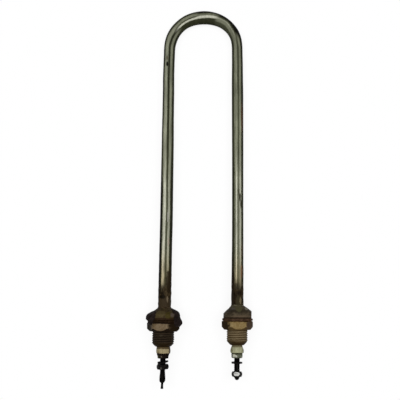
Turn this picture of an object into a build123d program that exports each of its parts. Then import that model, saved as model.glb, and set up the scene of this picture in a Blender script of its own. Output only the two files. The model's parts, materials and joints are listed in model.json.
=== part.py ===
from build123d import *
from math import asin, atan2, cos, degrees, hypot, radians, sin, sqrt, tan
import os

# Hairpin tubular heating element: a steel sheath bent once, filled with magnesia round a resistance
# coil, with a brazed threaded bush, a ceramic bead and a screw terminal on each end.
# Millimetres. It is drawn on a bench frame first: the two legs lie along Y with the bend at +Y, their
# axes in the plane z = 0, and every station is a distance from the bend's centre towards the
# terminals. At the end one placement lays all pieces down as they rest on a flat surface.

# Hairpin
leg_spacing = 50.0             # between the axes of the two legs
right_leg_length = 212.4       # from the bend's centre to the right mouth of the sheath
left_leg_extra = 1.6           # the left leg is cut this much longer
sheath_diameter = 8.0
sheath_wall = 0.7

# Filling, coil and pins inside the sheath
packing_gap = 0.02             # left round everything that is pressed or wound together
cold_length = 60.0             # from a mouth to the end of the heated stretch
coil_diameter = 3.5
coil_wire = 0.6
pin_spigot_length = 8.0        # the part of a pin that the coil is wound over
seal_length = 4.0
bead_spigot_length = 3.0
bead_spigot_gap = 0.15         # between bead spigot and sheath, on the radius

# Turned bush, from the bend's side to the terminal's side
bush_bore_gap = 0.05           # between sheath and bush, on the radius, filled by the braze
cone_lip = 0.35                # wall of the bush at the mouth of the cone
cone_height = 3.9
shoulder_diameter = 19.0
shoulder_height = 4.2
shoulder_chamfer = 0.5         # along the leg, at the foot of the cone
shank_diameter = 14.0
shank_length = 17.8            # from the shoulder's face to the end face, chamfer included
relief_width = 1.3             # thread relief next to the shoulder
relief_depth = 0.95
end_chamfer_length = 2.9
end_face_rim = 0.45            # width of the flat ring left at the end face
braze_reach = 1.15             # how far the braze climbs the sheath and the cone

# Gasket and lock nut
gasket_diameter = 20.6
gasket_bore_gap = 0.2          # on the radius
gasket_thickness = 1.6
lock_nut_flats = 18.0
lock_nut_height = 5.6
lock_nut_turn = {"left": 11.7, "right": -3.0}     # degrees, of the flat that faces up
thread_gap = 0.02              # between a plain shank and a plain nut bore, on the radius
nut_chamfer_angle = 30.0       # of the corner chamfers, from the nut's face
nut_crown_share = 0.97         # of the flats, the round left flat on a nut's face

# Ceramic beads
bead_bore_gap = 0.05           # between bead and stud, on the radius
bead_neck_diameter = {"left": 8.8, "right": 7.1}
bead_belly_diameter = {"left": 9.6, "right": 9.0}
bead_end_diameter = {"left": 8.9, "right": 8.3}
bead_length = {"left": 4.5, "right": 5.3}
bead_belly_share = {"left": 0.6, "right": 0.74}   # where the belly lies along the bead
bead_belly_flat = 0.22                            # the belly's straight band, as a share of the bead

# Screw terminals
stud_diameter = 4.0
stud_length = {"left": 22.4, "right": 21.3}       # from the mouth of the sheath to the end's taper
stud_taper_length = {"left": 1.5, "right": 1.7}
stud_taper_end = {"left": 1.6, "right": 1.7}      # diameter
nib_length = 3.7               # the thin end left on the left stud
nib_head_diameter = 1.85
nib_head_length = 1.2
nut_flats = 7.0
nut_height = 3.2
nut_seat_gap = 0.03            # between bead and inner nut
inner_nut_turn = {"left": 30.0, "right": 22.0}    # degrees, of the flat that faces up
outer_nut_turn = {"left": 8.0, "right": 0.0}
outer_nut_distance = {"left": 3.9, "right": 9.0}  # from inner to outer nut, face to face
washer_diameter = 7.4
washer_bore_gap = 0.06         # on the radius
washer_thickness = 0.9
washer_slot = 12.0             # degrees left open by the split
washer_rise = {"left": 0.75, "right": 0.2}        # how far the split ends stand apart
washer_distance = {"left": 1.7, "right": 2.6}     # from the inner nut

# Lumps of scale grown on the left fitting: degrees from the upright, station from the shoulder's face,
# reach from the leg's axis, width round the leg and length along it
scale_lumps = {
    "outer": (88.0, -1.6, 11.9, 9.0, 4.6),
    "inner": (-92.0, 1.5, 12.5, 8.0, 4.4),
}
scale_root = 1.2               # how far a lump's block starts inside the shoulder's rim
scale_bevel = 1.1              # of the block's outer edges

leg_length = {"left": right_leg_length + left_leg_extra, "right": right_leg_length}
leg_side = {"left": -1, "right": 1}
sheath_radius = sheath_diameter / 2
sheath_bore = sheath_radius - sheath_wall
pin_radius = coil_diameter / 2
coil_bore = pin_radius - coil_wire
fill_radius = sheath_bore - packing_gap
bush_bore = sheath_radius + bush_bore_gap
shank_radius = shank_diameter / 2
shoulder_radius = shoulder_diameter / 2
stud_radius = stud_diameter / 2


def leg_frame(name):
    """Leg frame: local Z runs along the leg to the terminal, local Y points up."""
    return Pos(leg_side[name] * leg_spacing / 2, 0, 0) * Rot(90, 0, 0)


def turned(*outline):
    """A lathe piece: an outline of (radius, station) points, revolved about the leg's axis."""
    return revolve(Plane.XZ * make_face(Polyline(*outline, close=True)), Axis.Z)


def ring(outer, inner, start, length):
    return Pos(0, 0, start) * extrude(Circle(outer) - Circle(inner), length)


def hairpin(section, ends):
    """A section carried up one leg, round the bend and down the other, to a station on each leg."""
    bend = revolve(Plane.XZ * Pos(leg_spacing / 2, 0) * section, Axis.Z, 180)
    for name, end in ends.items():
        bend += leg_frame(name) * extrude(section, end)
    return bend


def shoulder_station(name):
    """Where the shoulder's flat face stands, on which the gasket seats."""
    return leg_length[name] - shank_length


def gasket_end(name):
    return shoulder_station(name) + gasket_thickness


def bead_end(name):
    return leg_length[name] + bead_length[name]


def inner_nut_end(name):
    return bead_end(name) + nut_seat_gap + nut_height


def magnesia_end(name):
    return leg_length[name] - bead_spigot_length - seal_length


def make_sheath():
    return hairpin(Circle(sheath_radius) - Circle(sheath_bore), leg_length)


def make_coil():
    """The coil's envelope: its turns and the powder in and between them, with a socket at each end."""
    ends = {name: length - cold_length for name, length in leg_length.items()}
    coil = hairpin(Circle(pin_radius), ends)
    for name, end in ends.items():
        socket = Pos(0, 0, end - pin_spigot_length) * extrude(Circle(coil_bore), pin_spigot_length)
        coil -= leg_frame(name) * socket
    return coil


def make_magnesia():
    """The sleeve of pressed powder between sheath and coil."""
    ends = {name: magnesia_end(name) for name in leg_length}
    return hairpin(Circle(fill_radius) - Circle(pin_radius + packing_gap), ends)


def make_pin(name):
    """One turned rod: coil spigot, cold pin, stud and its end."""
    mouth = leg_length[name]
    cold_end = mouth - cold_length
    taper_start = mouth + stud_length[name]
    taper_end = taper_start + stud_taper_length[name]
    tip_radius = stud_taper_end[name] / 2
    spigot = coil_bore - packing_gap
    outline = [
        (0, cold_end - pin_spigot_length + packing_gap),
        (spigot, cold_end - pin_spigot_length + packing_gap),
        (spigot, cold_end + packing_gap),
        (pin_radius, cold_end + packing_gap),
        (pin_radius, mouth),
        (stud_radius, mouth + stud_radius - pin_radius),
        (stud_radius, taper_start),
        (tip_radius, taper_end),
    ]
    if name == "left":
        nib_end = taper_end + nib_length
        head = nib_head_diameter / 2
        outline += [
            (tip_radius, nib_end - nib_head_length),
            (head, nib_end - nib_head_length / 2),
            (head, nib_end),
            (0, nib_end),
        ]
    else:
        outline += [(0, taper_end)]
    return turned(*outline)


def make_bush(name):
    """The brazed fitting, turned from bar: cone, shoulder, thread relief and shank."""
    end = leg_length[name]
    face = shoulder_station(name)
    top = face - shoulder_height
    lip = bush_bore + cone_lip
    cone_spread = (shoulder_radius - lip) / cone_height
    relief = shank_radius - relief_depth
    return turned(
        (bush_bore, top - cone_height),
        (lip, top - cone_height),
        (shoulder_radius - shoulder_chamfer * cone_spread, top - shoulder_chamfer),
        (shoulder_radius, top + shoulder_chamfer),
        (shoulder_radius, face),
        (relief, face),
        (relief, face + relief_width),
        (shank_radius, face + relief_width + relief_depth),
        (shank_radius, end - end_chamfer_length),
        (bush_bore + end_face_rim, end),
        (bush_bore, end),
    )


def make_braze(name):
    """The ring of braze in the corner between sheath and cone."""
    mouth = shoulder_station(name) - shoulder_height - cone_height
    lip = bush_bore + cone_lip
    slope = atan2(shoulder_radius - lip, cone_height)
    return turned(
        (sheath_radius, mouth - braze_reach),
        (sheath_radius, mouth),
        (lip, mouth),
        (lip + braze_reach * sin(slope), mouth + braze_reach * cos(slope)),
    )


def make_gasket(name):
    return ring(gasket_diameter / 2, shank_radius + gasket_bore_gap, shoulder_station(name), gasket_thickness)


def hexagon_nut(flats, height, bore, start, turn):
    """A hexagon nut with its corners chamfered on both faces."""
    corner = flats / sqrt(3)
    crown = flats / 2 * nut_crown_share
    drop = (corner - crown) * tan(radians(nut_chamfer_angle))
    blank = extrude(RegularPolygon(flats / 2, 6, major_radius=False, rotation=0), height)
    dome = turned(
        (bore, 0), (crown, 0), (corner, drop), (corner, height - drop), (crown, height), (bore, height)
    )
    return Pos(0, 0, start) * Rot(0, 0, turn) * (blank & dome)


def make_lock_nut(name):
    bore = shank_radius + thread_gap
    return hexagon_nut(lock_nut_flats, lock_nut_height, bore, gasket_end(name), lock_nut_turn[name])


def make_bead(name):
    """The ceramic bead: a spigot in the sheath's bore and a barrel that seats on its mouth."""
    mouth = leg_length[name]
    end = bead_end(name)
    bore = stud_radius + bead_bore_gap
    spigot = sheath_bore - bead_spigot_gap
    neck = bead_neck_diameter[name] / 2
    belly = bead_belly_diameter[name] / 2
    belly_station = mouth + bead_length[name] * bead_belly_share[name]
    belly_half = bead_length[name] * bead_belly_flat / 2
    return turned(
        (bore, mouth - bead_spigot_length),
        (spigot, mouth - bead_spigot_length),
        (spigot, mouth),
        (neck, mouth),
        (belly, belly_station - belly_half),
        (belly, belly_station + belly_half),
        (bead_end_diameter[name] / 2, end),
        (bore, end),
    )


def make_seal(name):
    return ring(fill_radius, pin_radius + packing_gap, magnesia_end(name), seal_length)


def make_inner_nut(name):
    start = bead_end(name) + nut_seat_gap
    return hexagon_nut(nut_flats, nut_height, stud_radius + thread_gap, start, inner_nut_turn[name])


def make_outer_nut(name):
    start = inner_nut_end(name) + outer_nut_distance[name]
    return hexagon_nut(nut_flats, nut_height, stud_radius + thread_gap, start, outer_nut_turn[name])


def make_spring_washer(name):
    """A split ring whose two ends stand apart, swept along one turn of a shallow helix."""
    inner = stud_radius + washer_bore_gap
    outer = washer_diameter / 2
    middle = (inner + outer) / 2
    turn_share = 1 - washer_slot / 360
    coil = Helix(pitch=washer_rise[name] / turn_share, height=washer_rise[name], radius=middle)
    section = Plane(coil @ 0, x_dir=(1, 0, 0), z_dir=(0, 1, 0)) * Rectangle(outer - inner, washer_thickness)
    start = inner_nut_end(name) + washer_distance[name] + washer_thickness / 2
    return Pos(0, 0, start) * Rot(0, 0, 180) * sweep(section, coil, is_frenet=True)


def make_scale_lump(place, station, reach, width, length):
    """A block of hard scale, hollowed by the bush, gasket and nut that it grew on."""
    face = shoulder_station("left")
    root = shoulder_radius - scale_root
    block = Pos(0, (root + reach) / 2, face + station) * Box(width, reach - root, length)
    bevel = min(scale_bevel, length / 3)
    block = chamfer(block.faces().sort_by(Axis.Y)[-1].edges(), bevel)
    lump = Rot(0, 0, place) * block
    for neighbour in (make_bush("left"), make_gasket("left"), make_lock_nut("left")):
        lump -= neighbour
    return max(lump.solids(), key=lambda solid: solid.volume)


def build():
    """Every piece on the bench frame, by the name of its node."""
    pieces = {
        "sheath_tube": make_sheath(),
        "magnesia_filling": make_magnesia(),
        "resistance_coil": make_coil(),
    }
    makers = {
        "terminal_pin": make_pin,
        "fitting_bush": make_bush,
        "braze_fillet": make_braze,
        "gasket": make_gasket,
        "lock_nut": make_lock_nut,
        "ceramic_bead": make_bead,
        "end_seal": make_seal,
        "inner_nut": make_inner_nut,
        "spring_washer": make_spring_washer,
        "outer_nut": make_outer_nut,
    }
    for name in leg_length:
        for node, make in makers.items():
            pieces[f"{name}_{node}"] = leg_frame(name) * make(name)
    for name, sizes in scale_lumps.items():
        pieces[f"{name}_scale_lump"] = leg_frame("left") * make_scale_lump(*sizes)
    return pieces


def resting_tilt():
    """The slope at which the bend and the right gasket's rim touch one flat surface together."""
    reach = shoulder_station("right") + leg_spacing / 2
    rim = gasket_diameter / 2
    return degrees(atan2(rim, reach) - asin(sheath_radius / hypot(reach, rim)))


def main():
    pieces = build()
    tilt = resting_tilt()
    lift = leg_spacing / 2 * sin(radians(tilt)) + sheath_radius
    laid = Pos(0, 0, lift) * Rot(-tilt, 0, 0)
    box = Compound(children=[laid * piece for piece in pieces.values()]).bounding_box()
    place = Pos(-box.center().X, -box.center().Y, 0) * laid
    os.makedirs("parts", exist_ok=True)
    for node, piece in pieces.items():
        export_step(place * piece, f"parts/{node}.step")
    print(f"tilt {tilt:.4f} degrees, box {box.size.X:.2f} x {box.size.Y:.2f} x {box.size.Z:.2f} mm")
    for name in leg_length:
        for label, station in (("shank end", leg_length[name] - end_chamfer_length),
                               ("stud end", leg_length[name] + stud_length[name])):
            point = (place * leg_frame(name) * Pos(0, 0, station)).position
            print(name, label, f"{point.X:.4f} {point.Y:.4f} {point.Z:.4f}")


main()
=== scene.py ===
import json
import math
import bmesh
import bpy
from mathutils import Matrix, Vector, noise


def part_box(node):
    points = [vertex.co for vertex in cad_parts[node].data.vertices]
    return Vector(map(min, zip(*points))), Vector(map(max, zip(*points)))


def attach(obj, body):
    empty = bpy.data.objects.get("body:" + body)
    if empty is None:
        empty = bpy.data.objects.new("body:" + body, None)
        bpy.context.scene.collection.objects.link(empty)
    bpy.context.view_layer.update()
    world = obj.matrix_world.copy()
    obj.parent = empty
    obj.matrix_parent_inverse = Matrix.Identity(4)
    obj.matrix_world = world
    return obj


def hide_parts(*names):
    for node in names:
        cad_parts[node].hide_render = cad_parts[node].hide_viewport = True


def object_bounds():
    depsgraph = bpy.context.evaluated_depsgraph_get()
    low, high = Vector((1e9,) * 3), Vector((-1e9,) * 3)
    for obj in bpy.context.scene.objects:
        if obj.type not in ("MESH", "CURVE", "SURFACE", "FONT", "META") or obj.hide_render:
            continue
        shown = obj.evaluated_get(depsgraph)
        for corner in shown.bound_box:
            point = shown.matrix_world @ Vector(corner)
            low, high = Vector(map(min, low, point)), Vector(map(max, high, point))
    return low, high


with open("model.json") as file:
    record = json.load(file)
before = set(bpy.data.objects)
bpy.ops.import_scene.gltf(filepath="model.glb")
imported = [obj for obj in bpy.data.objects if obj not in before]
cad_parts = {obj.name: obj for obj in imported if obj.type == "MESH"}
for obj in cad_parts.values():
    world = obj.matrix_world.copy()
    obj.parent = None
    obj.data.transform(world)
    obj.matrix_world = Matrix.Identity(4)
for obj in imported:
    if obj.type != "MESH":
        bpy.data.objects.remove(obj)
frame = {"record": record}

# The element lies flat: two legs side by side, the bend away from the viewer, the terminals near.
# Each leg is drawn in its own frame, in millimetres: X to the right, Y up, Z down the leg, with zero
# at the bend's centre, so that a piece's station is its distance from there.
cad_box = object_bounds()
SHEATH_RADIUS = 4.0
MILLIMETRE = 0.001
SIDES = ("left", "right")
mounts = {mount["name"]: mount for mount in frame["record"]["mounts"]}
leg_down = Vector(mounts["left_shank"]["axis"])
leg_up = Vector((0, leg_down.z, -leg_down.y))
leg_x = {side: mounts[f"{side}_shank"]["pos_m"][0] for side in SIDES}
bend_radius = (leg_x["right"] - leg_x["left"]) / 2 / MILLIMETRE
sheath_low, sheath_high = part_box("sheath_tube")
bend_centre = Vector((
    (leg_x["left"] + leg_x["right"]) / 2,
    sheath_high.y - (bend_radius * -leg_down.y + SHEATH_RADIUS) * MILLIMETRE,
    (bend_radius * leg_down.z + SHEATH_RADIUS) * MILLIMETRE,
))


def leg_frame(x):
    """From a leg's own frame in millimetres to the shared frame in metres; x is the leg's place across."""
    axes = Matrix((Vector((1, 0, 0)), leg_up, leg_down)).transposed().to_4x4()
    return Matrix.Translation(Vector((x, bend_centre.y, bend_centre.z))) @ axes @ Matrix.Scale(MILLIMETRE, 4)


def station_of(point):
    """Distance from the bend's centre down the legs, in millimetres, of a point in the shared frame."""
    return (Vector(point) - bend_centre).dot(leg_down) / MILLIMETRE


# Camera: above the terminals, looking down and a little towards the bend.
CAMERA_PLACE = (-1.42, 418.3, 183.08)  # right of the bend's centre, above it, down the legs
CAMERA_PITCH = 0.1664  # radians, from straight down towards the bend
CAMERA_ROLL = 0.0107
CAMERA_LENS = 54.0
camera = bpy.data.objects.new("camera", bpy.data.cameras.new("camera"))
bpy.context.scene.collection.objects.link(camera)
camera.data.lens = CAMERA_LENS
camera.data.sensor_width = 36.0
camera.data.clip_start = 0.01
to_world = leg_frame(bend_centre.x)
look_down = Vector((0, -math.cos(CAMERA_PITCH), -math.sin(CAMERA_PITCH)))
image_down = Vector((0, -math.sin(CAMERA_PITCH), math.cos(CAMERA_PITCH)))
image_right = Vector((math.cos(CAMERA_ROLL), 0, 0)) - math.sin(CAMERA_ROLL) * image_down
image_down = Vector((math.sin(CAMERA_ROLL), 0, 0)) + math.cos(CAMERA_ROLL) * image_down
turn = to_world.to_3x3().normalized() @ Matrix((image_right, -image_down, -look_down)).transposed()
camera.matrix_world = Matrix.Translation(to_world @ Vector(CAMERA_PLACE)) @ turn.to_4x4()
bpy.context.scene.camera = camera
bpy.context.scene.view_settings.view_transform = "Standard"


# Sheath: one seamless steel tube, bent cold into a U, so that its section is a little oval round the
# bend. Years of heat have left an olive oxide, scale on the left leg and rust towards the fittings.
SHEATH_WALL = 0.7
SHEATH_SIDES = 64
LEG_STEP = 1.5  # between rings along a leg
BEND_STEPS = 90
MOUTH_PAST_SHANK = 2.9  # how far the mouth lies beyond the shank's free stretch
mouth_station = {}
for side in SIDES:
    shank = mounts[f"{side}_shank"]
    mouth_station[side] = station_of(shank["pos_m"]) + shank["dims"]["length_mm"] / 2 + MOUTH_PAST_SHANK
leg_growth = {  # thickness of the scale on a leg: (station, share of the radius)
    "left": ((0, 0.03), (12, 0.02), (26, 0.045), (55, 0.05), (63, 0.083), (95, 0.098), (125, 0.116),
             (150, 0.11),
             (172, 0.128), (183, 0.135), (190, 0.06), (195, 0.0)),
    "right": ((0, -0.02), (10, 0.0), (32, 0.042), (62, 0.028), (90, 0.005), (125, -0.007), (145, 0.0),
              (170, 0.04),
              (183, 0.065), (190, 0.04), (195, 0.0)),
}
leg_stray = {  # how far a leg strays from straight: (station, millimetres)
    "left": ((0, -0.02), (10, -0.2), (17, -0.33), (25, -0.31), (33, -0.18), (62, -0.1), (72, 0.0),
             (133, 0.16),
             (142, 0.05), (186, 0.0)),
    "right": ((0, -0.18), (10, 0.0), (25, 0.0), (32, 0.09), (80, 0.24), (140, 0.24), (158, 0.13),
              (186, 0.0)),
}
# Round the bend the tube spread, so that it is wider there: (degrees from the left leg, share of the
# radius), and it strays outwards: (degrees, millimetres).
bend_width = ((0, 0.03), (20, 0.1), (50, 0.095), (65, 0.17), (90, 0.245), (110, 0.19), (125, 0.09),
              (140, 0.02),
              (150, 0.01), (165, -0.01), (180, -0.02))
bend_stray = ((0, 0.02), (8, -0.15), (45, -0.1), (60, -0.02), (75, -0.24), (90, -0.24), (100, -0.04),
              (110, 0.14),
              (120, 0.45), (130, 0.57), (140, 0.61), (150, 0.62), (165, 0.2), (172, -0.16), (180, -0.18))
BAND_TURN = math.radians(26)  # how far round the tube the painted bands of highlight and shade are turned towards the top on the crown


def between(stops, place):
    """The value at a place on a line of (place, value) stops."""
    for (start, low), (end, high) in zip(stops, stops[1:]):
        if place <= end:
            share = max(0.0, (place - start) / (end - start))
            return low + (high - low) * share
    return stops[-1][1]


def eased(stops, place, reach):
    """The same, with the corners of the line taken off over a reach to either side."""
    return sum(between(stops, place + shift) for shift in (-reach, 0.0, reach)) / 3


def finish_piece(bm, name, matrix, sharp=40.0):
    """Turns a bmesh in its own frame into a piece in the shared frame, smooth but for its sharp edges."""
    bm.transform(matrix)
    bmesh.ops.recalc_face_normals(bm, faces=bm.faces)
    mesh = bpy.data.meshes.new(name)
    bm.to_mesh(mesh)
    bm.free()
    mesh.shade_smooth()
    mesh.set_sharp_from_angle(angle=math.radians(sharp))
    piece = bpy.data.objects.new(name, mesh)
    bpy.context.scene.collection.objects.link(piece)
    return piece


def ring_extrude(bm, edges, offset):
    """Extrudes a ring of edges and moves the new ring; returns the new ring's edges."""
    grown = bmesh.ops.extrude_edge_only(bm, edges=edges)["geom"]
    fresh = [part for part in grown if isinstance(part, bmesh.types.BMVert)]
    bmesh.ops.translate(bm, verts=fresh, vec=offset)
    return [part for part in grown if isinstance(part, bmesh.types.BMEdge)
            and all(vert in set(fresh) for vert in part.verts)]


def rough(point, size, depth, octaves=4):
    """Fractal unevenness at a point: size is the lumps' width in millimetres and depth their height."""
    return depth * noise.fractal(Vector(point) / size, 0.8, 2.1, octaves)


bm = bmesh.new()
ring = bmesh.ops.create_circle(bm, cap_ends=False, segments=SHEATH_SIDES, radius=SHEATH_RADIUS)["verts"]
bmesh.ops.translate(bm, verts=ring, vec=(-bend_radius, 0, mouth_station["left"]))
edges = list(bm.edges)
steps = int(mouth_station["left"] / LEG_STEP)
for step in range(steps):
    edges = ring_extrude(bm, edges, (0, 0, -mouth_station["left"] / steps))
verts = list({vert for edge in edges for vert in edge.verts})
spun = bmesh.ops.spin(bm, geom=verts + edges, cent=(0, 0, 0), axis=(0, 1, 0), dvec=(0, 0, 0),
                      angle=-math.pi, steps=BEND_STEPS, use_merge=False)["geom_last"]
edges = [part for part in spun if isinstance(part, bmesh.types.BMEdge)]
steps = int(mouth_station["right"] / LEG_STEP)
for step in range(steps):
    edges = ring_extrude(bm, edges, (0, 0, mouth_station["right"] / steps))
bmesh.ops.remove_doubles(bm, verts=bm.verts, dist=0.001)
outward = bm.verts.layers.float.new("outward")  # from -1 inside the U to 1 outside it, turned towards the top round the bend, for the painted bands
for vert in bm.verts:
    x, y, z = vert.co
    if z < 0:
        along = Vector((x, 0, z)).normalized()
        out = Vector((x, y, z)) - along * bend_radius
        turned_by = math.degrees(math.atan2(-z, -x))
        growth = 0.03 - 0.05 * turned_by / 180
        across = along * out.dot(along) * (1 + eased(bend_width, turned_by, 5))
        twist = BAND_TURN * math.sin(math.radians(turned_by))
        vert[outward] = (out.dot(along) * math.cos(twist) + out.y * math.sin(twist)) / SHEATH_RADIUS
        vert.co = (along * (bend_radius + eased(bend_stray, turned_by, 5)) + across
                   + Vector((0, out.y * (1 + growth), 0)))
    else:
        side = "left" if x < 0 else "right"
        line = Vector((math.copysign(bend_radius, x), 0, z))
        out = Vector((x, y, z)) - line
        scorched = max(0.0, min(1.0, (z - 150) / 30)) if z < 186 else 0.0
        lumps = rough((x, y, z), 3.0, 0.03 + 0.12 * scorched) * (1.6 if side == "left" else 1.0)
        growth = eased(leg_growth[side], z, 3) + lumps / SHEATH_RADIUS if z < 190 else 0.0
        vert[outward] = math.copysign(1.0, x) * out.x / SHEATH_RADIUS
        vert.co = line + out * (1 + growth) + Vector((eased(leg_stray[side], z, 3), 0, 0))
sheath = finish_piece(bm, "sheath", to_world)
wall = sheath.modifiers.new("wall", "SOLIDIFY")
wall.thickness = SHEATH_WALL * MILLIMETRE
wall.offset = -1.0


def node_of(tree, kind, inputs=(), **settings):
    """Adds a shader node; inputs is a dict of socket to value or to another node's output."""
    made = tree.nodes.new(kind)
    for key, value in settings.items():
        setattr(made, key, value)
    for key, value in dict(inputs).items():
        if isinstance(value, bpy.types.NodeSocket):
            tree.links.new(value, made.inputs[key])
        else:
            made.inputs[key].default_value = value
    return made


def maths(tree, operation, *values):
    return node_of(tree, "ShaderNodeMath", dict(enumerate(values)), operation=operation).outputs[0]


def times(tree, first, second):
    return maths(tree, "MULTIPLY", first, second)


def plus(tree, first, second):
    return maths(tree, "ADD", first, second)


def less(tree, first, second):
    return maths(tree, "SUBTRACT", first, second)


def ramp(tree, value, *stops):
    """A colour ramp: stops are (place, colour or grey)."""
    made = node_of(tree, "ShaderNodeValToRGB", {0: value})
    points = made.color_ramp.elements
    while len(points) < len(stops):
        points.new(1.0)
    for point, (place, colour) in zip(points, stops):
        point.position = place
        point.color = (*colour, 1) if isinstance(colour, tuple) else (colour, colour, colour, 1)
    return made.outputs[0]


def blend_colours(tree, share, first, second, mode="MIX"):
    mixed = node_of(tree, "ShaderNodeMix", {0: share}, data_type="RGBA", blend_type=mode)
    for socket, colour in ((6, first), (7, second)):
        if isinstance(colour, bpy.types.NodeSocket):
            tree.links.new(colour, mixed.inputs[socket])
        else:
            mixed.inputs[socket].default_value = (*colour, 1)
    return mixed.outputs[2]


def grain(tree, place, size, detail=5.0, roughness=0.6, stretch=1.0):
    """Noise on the piece, size in millimetres, drawn out along the legs by stretch."""
    mapped = node_of(tree, "ShaderNodeMapping", {
        "Vector": place, "Scale": (1000 / size, 1000 / size / stretch, 1000 / size)}).outputs[0]
    return node_of(tree, "ShaderNodeTexNoise", {
        "Vector": mapped, "Scale": 1.0, "Detail": detail, "Roughness": roughness}).outputs[0]


def seen(red, green, blue):
    """A colour as it looks on a screen, 0 to 255, as the linear values that a shader takes."""
    return tuple(((value / 255 + 0.055) / 1.055) ** 2.4 for value in (red, green, blue))


def new_finish(name, metallic, roughness, specular=0.04):
    """A material with its shader, its tree and the object coordinates that its patterns read."""
    material = bpy.data.materials.new(name)
    material.use_nodes = True
    tree = material.node_tree
    shader = tree.nodes["Principled BSDF"]
    shader.inputs["Metallic"].default_value = metallic
    shader.inputs["Roughness"].default_value = roughness
    shader.inputs["Specular IOR Level"].default_value = specular
    place = node_of(tree, "ShaderNodeTexCoord").outputs["Object"]
    return material, tree, shader, place


def add_bump(tree, shader, height, depth):
    """Bump of a depth in millimetres from a 0 to 1 height."""
    bump = node_of(tree, "ShaderNodeBump",
                   {"Height": height, "Distance": depth * MILLIMETRE, "Strength": 1.0})
    tree.links.new(bump.outputs[0], shader.inputs["Normal"])


def leg_places(tree, place):
    """Station down the legs and the offset from the tube's centre line, both in millimetres."""
    parts = node_of(tree, "ShaderNodeSeparateXYZ", {0: place}).outputs
    across = less(tree, parts[0], bend_centre.x)
    along = less(tree, bend_centre.y, parts[1])
    station = times(tree, along, 1 / MILLIMETRE)
    past = maths(tree, "MINIMUM", along, 0.0)
    reach = maths(tree, "SQRT", plus(tree, times(tree, across, across),
                                      times(tree, past, past)))
    offset = less(tree, times(tree, reach, 1 / MILLIMETRE), bend_radius)
    return station, offset, across


# Painted light along the sheath, by how far outward of the U a point lies: from 0, painted shade, over the
# olive oxide to 1, painted highlight. The bright band on the crown of the bend is a painted highlight, and
# the dark edge outside it on the right is painted shade.
shade_oxide_highlight_tones = ((0.0, (12, 10, 6)), (0.25, (54, 56, 38)), (0.6, (126, 128, 108)), (1.0, (204, 204, 186)))
oxide_light_bands = {  # painted shade inside and outside the U, and streaks, most of them painted highlights: (middle, half width, level)
    "left": (0.15, 0.05, ((-0.45, 0.35, 0.6), (0.4, 0.5, 0.65))),
    "left_low": (0.1, 0.0, ((-0.4, 0.3, 0.75), (-0.1, 0.3, 0.3), (0.3, 0.4, 0.9))),
    "bend_left": (0.25, 0.25, ((0.2, 0.25, 1.0), (0.7, 0.35, 0.6))),
    "bend": (0.2, 0.0, ((0.25, 0.35, 1.0), (0.5, 0.4, 0.5))),
    "bend_right": (0.3, 0.0, ((0.0, 0.7, 0.55), (0.2, 0.15, 0.7))),
    "right": (0.2, 0.1, ((-0.35, 0.5, 0.6), (0.1, 0.3, 0.3), (0.4, 0.3, 0.6))),
    "right_low": (0.15, 0.15, ((-0.4, 0.35, 0.55), (-0.25, 0.2, 0.95), (0.0, 0.35, 0.45), (0.4, 0.3, 0.8))),
}
oxide_gain = (  # how bright the painted bands and the oxide show: (station, share)
    (0, 0.42), (40, 0.47), (62, 0.53), (84, 0.56), (110, 0.5), (157, 0.48), (168, 0.42), (200, 0.4),
)


def softened(tree, value, start, end):
    """0 before start, 1 after end, with an easy rise between."""
    return node_of(tree, "ShaderNodeMapRange", {0: value, 1: start, 2: end},
                   interpolation_type="SMOOTHSTEP").outputs[0]


def banded_colour(tree, outward, inside, outside, streaks):
    """Colour of a stretch of sheath: painted shade inside and outside the U, and soft streaks of painted
    highlight along it, over the olive oxide.
    """
    rise = times(tree, softened(tree, outward, -0.2, 0.4), outside - inside)
    band_level = plus(tree, rise, inside)
    for middle, half, worn in streaks:
        away = maths(tree, "ABSOLUTE", less(tree, outward, middle))
        streak = times(tree, softened(tree, away, half, half * 0.3), worn)
        band_level = maths(tree, "MAXIMUM", band_level, streak)
    return ramp(tree, band_level, *((place, seen(*tone)) for place, tone in shade_oxide_highlight_tones))


def leg_vector(tree, place, side):
    """A point's place across, above and along a leg, in millimetres."""
    axes = leg_frame(leg_x[side]).to_3x3().normalized().to_euler()
    origin = (leg_x[side], bend_centre.y, bend_centre.z)
    return node_of(tree, "ShaderNodeMapping", {"Vector": place, "Location": origin, "Rotation": axes,
                                               "Scale": (MILLIMETRE,) * 3}, vector_type="TEXTURE").outputs[0]


def blot(tree, local, centre, radii, ragged):
    """1 inside a ragged ellipsoid of a leg's own place, fading to 0 round it; all in millimetres."""
    mapped = node_of(tree, "ShaderNodeMapping", {
        "Vector": local, "Scale": [1 / radius for radius in radii],
        "Location": [-middle / radius for middle, radius in zip(centre, radii)]}).outputs[0]
    reach = node_of(tree, "ShaderNodeVectorMath", {0: mapped}, operation="LENGTH").outputs["Value"]
    return softened(tree, plus(tree, reach, ragged), 1.2, 0.8)


def paint_blots(tree, place, side, colour, blots):
    """Lays blots over a colour: each is (centre, radii, colour on screen, strength)."""
    local = leg_vector(tree, place, side)
    ragged = times(tree, less(tree, grain(tree, place, 1.8, 5.0, 0.65), 0.5), 1.1)
    for centre, radii, tint, strength in blots:
        share = times(tree, blot(tree, local, centre, radii, ragged), strength)
        colour = blend_colours(tree, share, colour, seen(*tint))
    return colour


steel, tree, shader, place = new_finish("sheath_oxide_and_light_bands", 0.0, 0.42, specular=0.02)
station, offset, across = leg_places(tree, place)
wander = less(tree, grain(tree, place, 7.0, 4.0, 0.6, 4.0), 0.5)
banded = node_of(tree, "ShaderNodeAttribute", attribute_name="outward").outputs["Fac"]
banded = plus(tree, banded, times(tree, wander, 0.12))
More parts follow.
